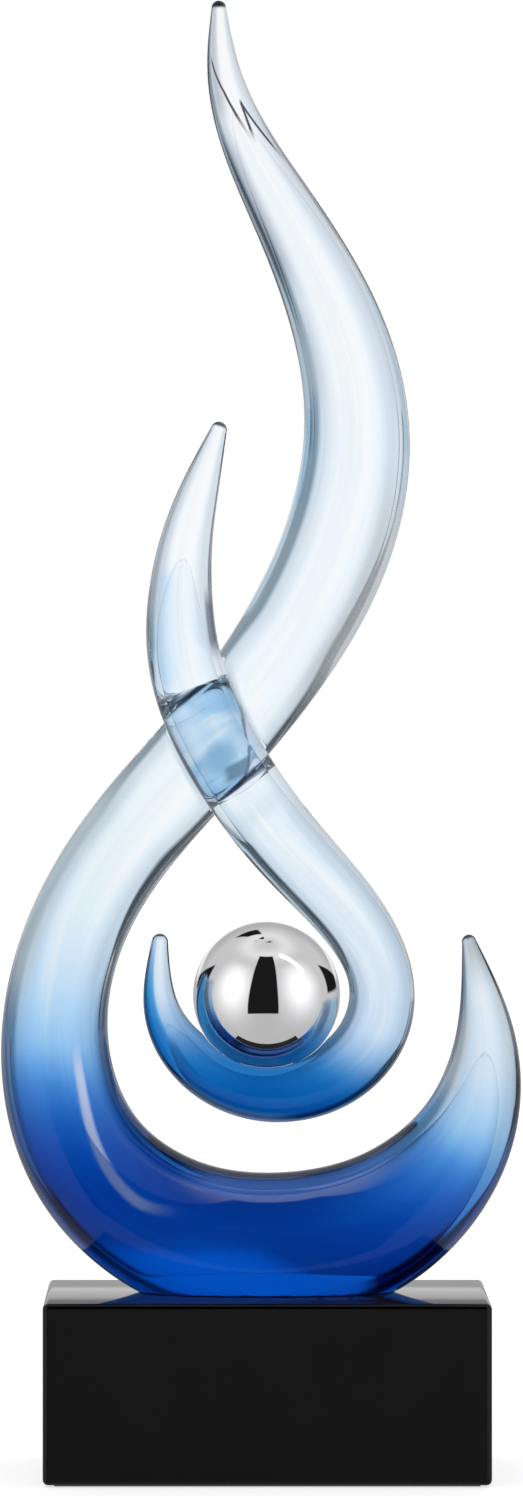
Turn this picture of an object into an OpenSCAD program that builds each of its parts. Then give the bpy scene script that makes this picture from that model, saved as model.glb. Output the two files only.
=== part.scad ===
// Tall glass wave sculpture on a black block, with a steel ball in its inner hook.
// Millimetres. Origin at the centre of the base underside, +Z up, front faces -Y.

/* [Base] */
// Length of the black block across the front
base_w = 120; // [110:1:150]
// Depth of the black block from front to back
base_d = 60; // [52:1:90]
// Height of the black block
base_h = 48.5; // [36:0.5:60]
// Width of the flat bevel along every edge of the block
base_bevel = 1.5; // [1:0.5:4]
// Thickness of the felt pad under the block
pad_t = 0.5; // [0.4:0.1:2]
// How far the felt pad stays inside the block's edge
pad_inset = 3; // [2:0.5:6]

/* [Glass] */
// Height of the upper tip above the block
glass_h = 351; // [325:1:380]
// Thickness of both glass strands as a share of their usual thickness
glass_gauge = 1; // [0.9:0.02:1.06]
// Thickness of the tinted core as a share of its strand
core_share = 0.6; // [0.45:0.01:0.64]
// Thickness of every clear adhesive layer
bond_t = 0.3; // [0.2:0.05:0.6]

/* [Ball] */
// Outside diameter of the polished ball
ball_d = 40; // [36:0.5:44]
// Wall of the hollow ball
ball_wall = 1; // [0.6:0.1:2]
// Diameter of the spot of adhesive at the bottom of the ball's cup
ball_spot_d = 18; // [8:1:24]

/* [Hidden] */
// Height of the block's upper face, where the glass stands
base_top = pad_t + base_h;
// Facets round each strand and round each core
strand_sides = 20;
core_sides = 10;
// Rings between two stations of a strand and of a core
strand_steps = 5;
core_steps = 3;
// Angle step of the rounded tips
tip_step = 30;
// Bottom point of the ball above the block, which carries the cradle with it and stays
// when the ball's size changes
ball_rest = 60.5;
ball_mid = base_top + ball_rest + ball_d / 2;

// Stations of the outer strand at its usual height, from its upper tip down through the
// crossing, round the foot and up to the right horn: [x, y, z above the block, width, depth]
outer_wave = [
    [-13, 3, 349, 4, 4],
    [-12.5, 4, 331, 9.5, 9],
    [-5.5, 5, 311, 14.5, 13],
    [9, 6, 287, 20, 18],
    [22, 7, 259, 26, 23],
    [26.5, 7, 230, 29.5, 26],
    [19.5, 7, 199.5, 30.5, 27],
    [4, 6.5, 172, 28.5, 26],
    [-14, 6.5, 149, 27, 26],
    [-33, 6, 129, 27, 26],
    [-49, 5, 107, 26.5, 26],
    [-58, 3, 82, 27.5, 26],
    [-58, 1, 56, 30.5, 28],
    [-48, 0, 31.5, 35, 31],
    [-24, 0, 14, 40, 33],
    [4, 0, 10, 42, 34],
    [33, 0, 17.5, 38, 32],
    [55.5, 0, 40, 28, 25],
    [61.5, 0, 68, 17.5, 16],
    [55, 0, 95, 4, 4]
];
// Stations of the inner strand from its upper tip, down over the crossing,
// round the cradle and up to the left horn; the cradle is set from the ball's bottom point
inner_wave = [
    [-13, -3, 234, 4.5, 4],
    [-18, -4, 219, 10.5, 10],
    [-22.5, -5, 203, 14.5, 14],
    [-24, -5.5, 184, 18.5, 17],
    [-22, -5.5, 166, 20.5, 19],
    [-12.5, -5.5, 145.5, 21.5, 19],
    [4, -5, 122, 21, 19],
    [21, -4, ball_rest + 45, 19.5, 18],
    [32, -2, ball_rest + 28, 17, 17],
    [31.5, -1, ball_rest + 11, 18.5, 18],
    [20, 0, ball_rest - 3, 18, 18],
    [0, 0, ball_rest - 7.5, 18, 18],
    [-19, 0, ball_rest - 0.5, 15.5, 15.5],
    [-30.5, 0, ball_rest + 15, 10, 10],
    [-29, 0, ball_rest + 34.5, 4.5, 4]
];
// Both strands stretch above this height over the block when the glass gets taller
stretch_from = 125;
usual_tip = outer_wave[0][2] + outer_wave[0][3] / 2;
stretch = (glass_h - usual_tip) / (usual_tip - stretch_from);
function stretched(wave) = [
    for (s = wave) [s[0], s[1], s[2] + stretch * max(0, s[2] - stretch_from), s[3], s[4]]
];
outer_path = stretched(outer_wave);
inner_path = stretched(inner_wave);
// Where each strand passes the crossing, counted in stations, and how far each flat
// reaches along its strand before it swells out again
near_cross = nearest(outer_path, inner_path);
crossing = meet(outer_path, inner_path, near_cross[1], near_cross[2], 5);
outer_cross = crossing[0];
inner_cross = crossing[1];
outer_flat = 0.55;
inner_flat = 0.75;
// How fast the flat drops away past its end, in mm per station squared
flat_fade = 10;
// Stations over which a core swerves past the flat
core_swerve = 1.8;
// Where each tinted core starts, and how far before the end of its strand it stops, in stations
outer_core_from = 1.5;
outer_core_stop = 1.1;
outer_core_to = len(outer_path) - 1 - outer_core_stop;
inner_core_from = 2.2;
inner_core_stop = 1.2;
inner_core_to = len(inner_path) - 1 - inner_core_stop;
// How far the adhesive stays inside the edge of a flat
bond_edge = 0.5;
// Stations over which a core swells from its point to its full thickness
core_taper = 2.4;

// ---- smooth curve through the stations ----

// The four stations that shape the curve at place u, with one added past each end
function around(p, i) = [
    i == 0 ? 2 * p[0] - p[1] : p[i - 1],
    p[i],
    p[i + 1],
    i == len(p) - 2 ? 2 * p[i + 1] - p[i] : p[i + 2]
];
function span(p, u) = min(floor(u), len(p) - 2);
function blend(q, t) = (pow(1 - t, 3) * q[0] + (3 * pow(t, 3) - 6 * t * t + 4) * q[1]
    + (-3 * pow(t, 3) + 3 * t * t + 3 * t + 1) * q[2] + pow(t, 3) * q[3]) / 6;
function slope(q, t) = (-pow(1 - t, 2) * q[0] + (3 * t * t - 4 * t) * q[1]
    + (-3 * t * t + 2 * t + 1) * q[2] + t * t * q[3]) / 2;
// Position, width and depth of the strand at place u
function at(p, u) = let (i = span(p, u)) blend(around(p, i), u - i);
// Change of position, width and depth for one station at place u
function pace(p, u) = let (i = span(p, u)) slope(around(p, i), u - i);
// Direction of the strand at place u, and the direction across it in the front view
function along(p, u) = let (s = pace(p, u), v = [s[0], s[1], s[2]]) v / norm(v);
function across(p, u) = let (s = along(p, u), v = [-s[2], 0, s[0]]) v / norm(v);

// ---- place where two strands cross in the front view ----

function front(s) = [s[0], s[2]];
// The two stations of strands p and q that lie nearest to each other: [distance, station, station]
function nearest(p, q) = let (
        pairs = [for (i = [0 : len(p) - 1], j = [0 : len(q) - 1]) [norm(front(p[i]) - front(q[j])), i, j]],
        least = min([for (pair = pairs) pair[0]]))
    [for (pair = pairs) if (pair[0] == least) pair][0];
// Places on p and q where their middles cross, closing in from places u and v in n steps
function meet(p, q, u, v, n) = n == 0 ? [u, v] : let (
        a = front(pace(p, u)), b = front(pace(q, v)),
        gap = front(at(q, v)) - front(at(p, u)),
        turn = a[1] * b[0] - a[0] * b[1],
        du = (gap[1] * b[0] - gap[0] * b[1]) / turn,
        dv = (a[0] * gap[1] - a[1] * gap[0]) / turn)
    meet(p, q, u + du, v + dv, n - 1);

// ---- rings round a strand ----

// One ring: centre c, half width a along n, half depth b along Y; y stays within lo and hi
function ring(c, n, a, b, sides, lo, hi) = [
    for (k = [0 : sides - 1])
        let (w = 360 * k / sides, p = c + a * cos(w) * n + [0, b * sin(w), 0])
            [p[0], min(hi, max(lo, p[1])), p[2] + base_top]
];
function centre(p, u) = let (s = at(p, u)) [s[0], s[1], s[2]];
// How far the flat has dropped away at place u
function past_flat(u, cross, flat) = flat_fade * pow(max(0, abs(u - cross) - flat), 2);
// Limits in Y at place u: the outer strand is flat in front, the inner strand at the back
function y_low(u, outer) = outer ? bond_t / 2 - past_flat(u, outer_cross, outer_flat) : -999;
function y_high(u, outer) = outer ? 999 : past_flat(u, inner_cross, inner_flat) - bond_t / 2;

function body_ring(p, u, outer) = let (s = at(p, u))
    ring(centre(p, u), across(p, u), glass_gauge * s[3] / 2, glass_gauge * s[4] / 2,
        strand_sides, y_low(u, outer), y_high(u, outer));
// Rings of a rounded tip at place u; way is -1 at the first station and 1 at the last
function tip_ring(p, u, w, way) = let (s = at(p, u), r = glass_gauge * s[3] / 2)
    ring(centre(p, u) + way * r * sin(w) * along(p, u), across(p, u), r * cos(w),
        glass_gauge * s[4] / 2 * cos(w), strand_sides, -999, 999);
function tip_point(p, u, way) = let (s = at(p, u))
    centre(p, u) + way * glass_gauge * s[3] / 2 * along(p, u) + [0, 0, base_top];

// ---- core rings ----

function half_width(p, u) = glass_gauge * at(p, u)[3] / 2;
function half_depth(p, u) = glass_gauge * at(p, u)[4] / 2;
// Width that the strand loses at place u, to the flat foot or to the cup under the ball
function lost_width(p, u, outer) = let (c = centre(p, u), a = half_width(p, u)) max(0, outer
    ? a * across(p, u)[2] - c[2] + bond_t
    : a + ball_d / 2 + bond_t - norm(c - [0, 0, ball_mid - base_top]));
// Depth that the strand loses to its flat at the crossing, faded out along the core
function lost_depth(p, u, outer) = let (
        cross = outer ? outer_cross : inner_cross,
        x = min(1, abs(u - cross) / core_swerve))
    max(0, half_depth(p, cross) - abs(at(p, cross)[1])) * pow(cos(90 * x), 2);
// Share of full core thickness at place u, from a point at each end
function swell(u, from, to) = let (t = min(1, min(u - from, to - u) / core_taper))
    sqrt(t * (2 - t));
// The core runs down the middle of what is left of the strand
function core_ring(p, u, from, to, outer) = let (
        n = across(p, u),
        w = lost_width(p, u, outer) / 2,
        d = lost_depth(p, u, outer) / 2,
        f = core_share * swell(u, from, to))
    ring(centre(p, u) + w * n + [0, outer ? d : -d, 0], n, f * (half_width(p, u) - w),
        f * (half_depth(p, u) - d), core_sides, -999, 999);

module loft(first, rings, last, sides) {
    n = len(rings);
    points = concat([first], [for (r = rings) each r], [last]);
    faces = concat(
        [for (k = [0 : sides - 1]) [0, 1 + (k + 1) % sides, 1 + k]],
        [for (j = [0 : n - 2], k = [0 : sides - 1], h = [0, 1])
            let (a = 1 + j * sides + k, b = 1 + j * sides + (k + 1) % sides)
                h == 0 ? [a, b + sides, a + sides] : [a, b, b + sides]],
        [for (k = [0 : sides - 1])
            [n * sides + 1, 1 + (n - 1) * sides + k, 1 + (n - 1) * sides + (k + 1) % sides]]);
    polyhedron(points, faces);
}

module strand(p, outer) {
    last = len(p) - 1;
    loft(tip_point(p, 0, -1),
        concat(
            [for (w = [90 - tip_step : -tip_step : tip_step]) tip_ring(p, 0, w, -1)],
            [for (k = [0 : last * strand_steps]) body_ring(p, k / strand_steps, outer)],
            [for (w = [tip_step : tip_step : 90 - tip_step]) tip_ring(p, last, w, 1)]),
        tip_point(p, last, 1), strand_sides);
}

module core(p, from, to, outer) {
    steps = round((to - from) * core_steps);
    loft(centre(p, from) + [0, 0, base_top],
        [for (k = [1 : steps - 1]) core_ring(p, from + (to - from) * k / steps, from, to, outer)],
        centre(p, to) + [0, 0, base_top], core_sides);
}

// ---- pieces ----

// Block outline with its corners cut, centred across and starting at zero in height
module cut_corners(w, h, b) {
    polygon([[-w / 2 + b, 0], [w / 2 - b, 0], [w / 2, b], [w / 2, h - b],
        [w / 2 - b, h], [-w / 2 + b, h], [-w / 2, h - b], [-w / 2, b]]);
}

// Black lacquered block with every edge bevelled
module base_block() {
    color([0.03, 0.03, 0.035])
    translate([0, 0, pad_t])
    intersection() {
        rotate([90, 0, 0]) linear_extrude(base_d, center = true) cut_corners(base_w, base_h, base_bevel);
        rotate([90, 0, 90]) linear_extrude(base_w, center = true) cut_corners(base_d, base_h, base_bevel);
        translate([0, -base_d / 2, 0]) linear_extrude(base_h) cut_corners(base_w, base_d, base_bevel);
    }
}

// Felt sheet glued under the block
module base_pad() {
    color([0.08, 0.08, 0.08])
    translate([pad_inset - base_w / 2, pad_inset - base_d / 2, 0])
        cube([base_w - 2 * pad_inset, base_d - 2 * pad_inset, pad_t]);
}

module slab(z0, z1) {
    translate([-base_w, -base_d, z0]) cube([2 * base_w, 2 * base_d, z1 - z0]);
}

// Clear adhesive between the block and the ground foot of the outer strand
module foot_bond() {
    color([0.8, 0.85, 0.95])
    intersection() {
        strand(outer_path, true);
        slab(base_top, base_top + bond_t);
    }
}

// Clear glass of the outer strand, ground flat at the foot, with room for its core
module outer_wave_casing() {
    color([0.35, 0.6, 0.9])
    difference() {
        strand(outer_path, true);
        slab(0, base_top + bond_t);
        outer_core_shape();
    }
}

module outer_core_shape() {
    core(outer_path, outer_core_from, outer_core_to, true);
}

// Tinted glass inside the outer strand
module outer_wave_core() {
    color([0.1, 0.3, 0.75]) outer_core_shape();
}

// Room that the ball and its adhesive take in the cradle
module ball_seat(extra) {
    translate([0, 0, ball_mid]) sphere(d = ball_d + 2 * extra, $fn = 96);
}

// Clear glass of the inner strand, ground to a cup under the ball, with room for its core
module inner_wave_casing() {
    color([0.45, 0.7, 0.95])
    difference() {
        strand(inner_path, false);
        ball_seat(bond_t);
        inner_core_shape();
    }
}

module inner_core_shape() {
    core(inner_path, inner_core_from, inner_core_to, false);
}

// Tinted glass inside the inner strand
module inner_wave_core() {
    color([0.2, 0.45, 0.85]) inner_core_shape();
}

// Clear adhesive between the two flats at the crossing, as long and wide as both allow
module crossing_bond() {
    color([0.75, 0.85, 0.98])
    intersection() {
        flat_strip(outer_path, outer_cross);
        flat_strip(inner_path, inner_cross);
        on_strand(inner_path, inner_cross) rotate([90, 0, 0])
            cylinder(h = bond_t, d = 3 * flat_half(inner_path, inner_cross), center = true, $fn = 64);
    }
}

// Half width of the flat where strand p crosses, kept a little inside its edge
function flat_half(p, u) = let (y = abs(at(p, u)[1]) + bond_t / 2, b = half_depth(p, u))
    half_width(p, u) * sqrt(1 - y * y / b / b) - bond_edge;

module flat_strip(p, u) {
    on_strand(p, u) cube([2 * flat_half(p, u), bond_t, 4 * half_width(p, u)], center = true);
}

// Places its children in the plane of the flats with their Z along strand p at place u
module on_strand(p, u) {
    s = along(p, u);
    c = centre(p, u);
    translate([c[0], 0, c[2] + base_top]) rotate([0, atan2(s[0], s[2]), 0]) children();
}

// Spot of clear adhesive in the cup under the ball
module ball_bond() {
    color([0.8, 0.85, 0.95])
    intersection() {
        strand(inner_path, false);
        translate([0, 0, base_top]) cylinder(h = ball_rest + ball_d / 4, d = ball_spot_d, $fn = 64);
        difference() {
            ball_seat(bond_t);
            ball_seat(0);
        }
    }
}

// Hollow polished ball
module ball_shell() {
    color([0.8, 0.8, 0.82])
    difference() {
        ball_seat(0);
        ball_seat(-ball_wall);
    }
}

base_block();
base_pad();
foot_bond();
outer_wave_casing();
outer_wave_core();
inner_wave_casing();
inner_wave_core();
crossing_bond();
ball_shell();
ball_bond();
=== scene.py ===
"""Glass wave sculpture with a steel ball: looks, light and camera. Metres, same frame as the solids."""

import math

import bmesh
import bpy
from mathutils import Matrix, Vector


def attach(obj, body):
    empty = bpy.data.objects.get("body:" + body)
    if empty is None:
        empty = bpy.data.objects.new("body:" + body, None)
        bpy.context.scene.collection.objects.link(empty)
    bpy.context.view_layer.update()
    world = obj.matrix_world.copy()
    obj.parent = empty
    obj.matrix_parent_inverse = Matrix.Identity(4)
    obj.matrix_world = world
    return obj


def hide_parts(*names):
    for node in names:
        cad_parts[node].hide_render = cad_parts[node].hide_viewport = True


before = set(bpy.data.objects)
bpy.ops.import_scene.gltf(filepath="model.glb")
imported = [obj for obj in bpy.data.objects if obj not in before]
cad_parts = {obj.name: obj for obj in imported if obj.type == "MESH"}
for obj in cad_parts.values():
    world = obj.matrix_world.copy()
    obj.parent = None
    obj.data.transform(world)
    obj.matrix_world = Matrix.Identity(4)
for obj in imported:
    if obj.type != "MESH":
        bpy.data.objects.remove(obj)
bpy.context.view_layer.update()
MM = 0.001

# ---------------------------------------------------------------- sizes, in millimetres
BASE_W, BASE_D, BASE_H, BASE_BEVEL = 120, 60, 48.5, 1.5
PAD_T, PAD_INSET, PAD_BEVEL = 0.5, 3, 0.2
BASE_TOP = PAD_T + BASE_H
BOND = 0.3
BALL_D = 40
BALL_REST = 60.5
BALL_MID = BASE_TOP + BALL_REST + BALL_D / 2

# Stations down each strand: [x, y, z above the block, width, depth]
OUTER = [
    [-13, 3, 349, 4, 4],
    [-12.5, 4, 331, 9.5, 9],
    [-5.5, 5, 311, 14.5, 13],
    [9, 6, 287, 20, 18],
    [22, 7, 259, 26, 23],
    [26.5, 7, 230, 29.5, 26],
    [19.5, 7, 199.5, 30.5, 27],
    [4, 6.5, 172, 28.5, 26],
    [-14, 6.5, 149, 27, 26],
    [-33, 6, 129, 27, 26],
    [-49, 5, 107, 26.5, 26],
    [-58, 3, 82, 27.5, 26],
    [-58, 1, 56, 30.5, 28],
    [-48, 0, 31.5, 35, 31],
    [-24, 0, 14, 40, 33],
    [4, 0, 10, 42, 34],
    [33, 0, 17.5, 38, 32],
    [55.5, 0, 40, 28, 25],
    [61.5, 0, 68, 17.5, 16],
    [55, 0, 95, 4, 4],
]
INNER = [
    [-13, -3, 234, 4.5, 4],
    [-18, -4, 219, 10.5, 10],
    [-22.5, -5, 203, 14.5, 14],
    [-24, -5.5, 184, 18.5, 17],
    [-22, -5.5, 166, 20.5, 19],
    [-12.5, -5.5, 145.5, 21.5, 19],
    [4, -5, 122, 21, 19],
    [21, -4, 105.5, 19.5, 18],
    [32, -2, 88.5, 17, 17],
    [31.5, -1, 71.5, 18.5, 18],
    [20, 0, 57.5, 18, 18],
    [0, 0, 53, 18, 18],
    [-19, 0, 60, 15.5, 15.5],
    [-30.5, 0, 75.5, 10, 10],
    [-29, 0, 95, 4.5, 4],
]
# Place of the crossing, first and last place of the core, and how much squarer the back is at the crossing
OUTER_FORM = {"cross": 7.99, "core": (1.5, 17.9), "outer": True, "square": 3.5}
INNER_FORM = {"cross": 4.783, "core": (2.2, 12.8), "outer": False, "square": 0.0}
# How far from the crossing, in stations, a strand is pressed and its back squarer; how near to it, in
# millimetres, no edge stays sharp
PRESS_REACH, SQUARE_REACH = 1.5, 1.3
SMOOTH_REACH = 26
# The fused window at the crossing: half length and half width along the inner strand, how square, where
# its front and back are, and its number of sides
WINDOW_LONG, WINDOW_WIDE, WINDOW_SQUARE = 15.6, 8.2, 2.5
WINDOW_FRONT, WINDOW_BACK, WINDOW_SIDES = -1.0, 5.5, 72
# The blue pane painted in it for what the window shows, painted light and shade: middle (x, z), half length
# and half width, how square, and its lean
PANE_MID, PANE_LONG, PANE_WIDE, PANE_SQUARE, PANE_LEAN = (-14.7, 199.8), 15.0, 5.3, 2.8, 70
# How far past its flat each strand swells out again
OUTER_SWELL, INNER_SWELL = 4.0, 13.0
# Share of the strand that the core fills, and the stations over which it tapers and gives way to the flat
CORE_SHARE = 0.6
CORE_TAPER = 2.4
CORE_SWERVE = 1.8
# How finely the glass is drawn: sides round it, rings for each station, rings in each round tip
GLASS_SIDES, OUTER_STEPS, INNER_STEPS, TIP_STEPS = 96, 26, 22, 8
CORE_SIDES, CORE_STEPS = 40, 10
# Angles in degrees past which an edge of each kind of piece stays sharp
STRAND_SHARP, WINDOW_SHARP, BLOCK_SHARP = 24, 30, 40
# How much of its width and its thickness the foot's adhesive keeps
FOOT_WIDE, FOOT_THICK = 0.99, 0.6


# ---------------------------------------------------------------- curve through the stations
def stretch(stations, u):
    """The four stations that shape the curve at place u, and how far along their middle stretch it is."""
    i = min(int(u), len(stations) - 2)
    before = [2 * a - b for a, b in zip(stations[0], stations[1])]
    after = [2 * a - b for a, b in zip(stations[-1], stations[-2])]
    if i > 0:
        before = stations[i - 1]
    if i < len(stations) - 2:
        after = stations[i + 2]
    return (before, stations[i], stations[i + 1], after), u - i


def at(stations, u):
    """Smoothed station at place u: x, y, z, width and depth."""
    four, t = stretch(stations, u)
    weights = ((1 - t) ** 3, 3 * t**3 - 6 * t * t + 4, -3 * t**3 + 3 * t * t + 3 * t + 1, t**3)
    return [sum(w * s[j] for w, s in zip(weights, four)) / 6 for j in range(5)]


def along(stations, u):
    """Unit direction of the path at place u."""
    four, t = stretch(stations, u)
    weights = (-((1 - t) ** 2), 3 * t * t - 4 * t, -3 * t * t + 2 * t + 1, t * t)
    return Vector([sum(w * s[j] for w, s in zip(weights, four)) / 2 for j in range(3)]).normalized()


def across(stations, u):
    """Unit direction across the path, as seen from the front."""
    way = along(stations, u)
    return Vector((-way.z, 0, way.x)).normalized()


def centre(stations, u):
    return Vector(at(stations, u)[:3])


def smooth(t):
    t = min(1.0, max(0.0, t))
    return t * t * (3 - 2 * t)


LIFT = Vector((0, 0, BASE_TOP))
CROSS_MID = centre(OUTER, OUTER_FORM["cross"])
CROSS_ALONG = along(INNER, INNER_FORM["cross"])
CROSS_ACROSS = across(INNER, INNER_FORM["cross"])
# Points on the inner strand's path, 20 for each station and 36 on each side of the crossing, and the same
# points as seen from the front
INNER_PATH = [centre(INNER, INNER_FORM["cross"] + k / 20) for k in range(-36, 37)]
INNER_LINE = [(c.x, c.z + BASE_TOP) for c in INNER_PATH]


# ---------------------------------------------------------------- shapes of the strands
def ring(middle, side, half_width, half_depth, sides, squareness=2.0):
    """Ellipse round a point, whose back half can be squarer."""
    points = []
    for k in range(sides):
        angle = 2 * math.pi * k / sides
        c, s = math.cos(angle), math.sin(angle)
        if 0 < k < sides / 2:
            c = math.copysign(abs(c) ** (2 / squareness), c)
            s = s ** (2 / squareness)
        v = middle + half_width * c * side + Vector((0, half_depth * s, 0))
        points.append(Vector((v.x, v.y, v.z + BASE_TOP)))
    return points


def pressed(v, outer):
    """Press a point of either strand flat where the other one lies against it, in the plane y = 0."""
    if outer:
        off = min(math.hypot(v.x - x, v.z - z) for x, z in INNER_LINE)
        share = 1 - smooth((off - WINDOW_WIDE) / OUTER_SWELL)
        v.y += share * max(0.0, BOND / 2 - v.y)
        return v
    away = v - (CROSS_MID + LIFT)
    p, q = abs(away.dot(CROSS_ALONG)), abs(away.dot(CROSS_ACROSS))
    reach = WINDOW_LONG * (1 - min(1.0, q / WINDOW_WIDE) ** WINDOW_SQUARE) ** (1 / WINDOW_SQUARE)
    share = 1 - smooth((p - reach) / INNER_SWELL)
    v.y -= share * max(0.0, v.y + BOND / 2)
    return v


def seat(v, form):
    """The ground foot of the outer strand, and the ball's cup in the inner one."""
    if form["outer"]:
        v.z = max(v.z, BASE_TOP + BOND)
        return v
    mid = Vector((0, 0, BALL_MID))
    away = v - mid
    reach = BALL_D / 2 + BOND
    return mid + away * (reach / away.length) if away.length < reach else v


def tip_rings(stations, u, way, sides, steps):
    """Rings of a round tip past place u, forward or back along the path, and its end point."""
    width, depth = at(stations, u)[3:]
    rings = []
    for k in range(1, steps):
        angle = math.pi / 2 * k / steps
        middle = centre(stations, u) + way * width / 2 * math.sin(angle) * along(stations, u)
        half_width, half_depth = width / 2 * math.cos(angle), depth / 2 * math.cos(angle)
        rings.append(ring(middle, across(stations, u), half_width, half_depth, sides))
    point = centre(stations, u) + way * width / 2 * along(stations, u) + LIFT
    return rings, point


def lost_width(stations, u, form):
    """How much of the strand's width the ground foot or the ball's cup takes at place u."""
    half, middle = at(stations, u)[3] / 2, centre(stations, u)
    if form["outer"]:
        return max(0.0, half * across(stations, u).z - middle.z + BOND)
    ball = Vector((0, 0, BALL_MID - BASE_TOP))
    return max(0.0, half + BALL_D / 2 + BOND - (middle - ball).length)


def lost_depth(stations, u, form):
    """How much of the strand's depth the flat at the crossing takes at place u."""
    s = at(stations, form["cross"])
    x = min(1.0, abs(u - form["cross"]) / CORE_SWERVE)
    return max(0.0, s[4] / 2 - abs(s[1])) * math.cos(math.pi / 2 * x) ** 2


def link(mesh, name):
    """Put a mesh in the scene."""
    obj = bpy.data.objects.new(name, mesh)
    bpy.context.scene.collection.objects.link(obj)
    return obj


def tube_faces(rows, sides):
    """Faces of a closed tube: a fan at each end and four-sided faces between."""
    last_row, end = 1 + (rows - 1) * sides, 1 + rows * sides
    faces = [(0, 1 + k, 1 + (k + 1) % sides) for k in range(sides)]
    for row in range(rows - 1):
        for k in range(sides):
            a, b = 1 + row * sides + k, 1 + row * sides + (k + 1) % sides
            faces.append((a, a + sides, b + sides, b))
    faces += [(end, last_row + (k + 1) % sides, last_row + k) for k in range(sides)]
    return faces


def map_tube(mesh, rows, sides):
    """Texture map of a tube: X goes round it to 0.5 and back, Y goes along it from 0 to 1."""
    end = 1 + rows * sides
    uv = mesh.uv_layers.new(name="strand")
    for poly in mesh.polygons:
        for corner in poly.loop_indices:
            v = mesh.loops[corner].vertex_index
            row, col = (v - 1) // sides, (v - 1) % sides
            if v in (0, end):
                row, col = (0 if v == 0 else rows), sides / 2
            uv.data[corner].uv = (col / sides if col <= sides / 2 else 1 - col / sides, row / rows)


def loft(name, first, rings, last, sides):
    """Closed tube through the rings, with its texture map."""
    points = [first] + [v for r in rings for v in r] + [last]
    mesh = bpy.data.meshes.new(name)
    mesh.from_pydata([v * MM for v in points], [], tube_faces(len(rings), sides))
    map_tube(mesh, len(rings), sides)
    mesh.shade_smooth()
    mesh.set_sharp_from_angle(angle=math.radians(STRAND_SHARP))
    # The pressed glass runs over smoothly at the crossing
    mid = (CROSS_MID + LIFT) * MM
    for edge in mesh.edges:
        if (mesh.vertices[edge.vertices[0]].co - mid).length < SMOOTH_REACH * MM:
            edge.use_edge_sharp = False
    mesh.update()
    return link(mesh, name)


def strand(name, stations, form, sides, steps):
    """Clear glass of one strand, with round tips, pressed flat at the crossing and seated below."""
    last = len(stations) - 1
    head, top = tip_rings(stations, 0, -1, sides, TIP_STEPS)
    tail, bottom = tip_rings(stations, last, 1, sides, TIP_STEPS)
    rings = list(reversed(head))
    for k in range(last * steps + 1):
        u = k / steps
        width, depth = at(stations, u)[3:]
        off = abs(u - form["cross"])
        square = 2 + form["square"] * (1 - smooth(off / SQUARE_REACH))
        body = ring(centre(stations, u), across(stations, u), width / 2, depth / 2, sides, square)
        if off < PRESS_REACH:
            body = [pressed(v, form["outer"]) for v in body]
        rings.append(body)
    rings += tail
    rings = [[seat(v, form) for v in r] for r in rings]
    return loft(name, top, rings, bottom, sides)


def core(name, stations, form, sides, steps):
    """Tinted glass inside one strand, pointed at both ends, clear of the flat, the foot and the cup."""
    first, last = form["core"]
    count = round((last - first) * steps)
    rings = []
    for k in range(1, count):
        u = first + (last - first) * k / count
        width, depth = at(stations, u)[3:]
        side = across(stations, u)
        less_wide, less_deep = lost_width(stations, u, form) / 2, lost_depth(stations, u, form) / 2
        t = min(1.0, min(u - first, last - u) / CORE_TAPER)
        share = CORE_SHARE * math.sqrt(t * (2 - t))
        back = less_deep if form["outer"] else -less_deep
        middle = centre(stations, u) + less_wide * side + Vector((0, back, 0))
        half_width, half_depth = share * (width / 2 - less_wide), share * (depth / 2 - less_deep)
        rings.append(ring(middle, side, half_width, half_depth, sides))
    return loft(name, centre(stations, first) + LIFT, rings, centre(stations, last) + LIFT, sides)


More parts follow.
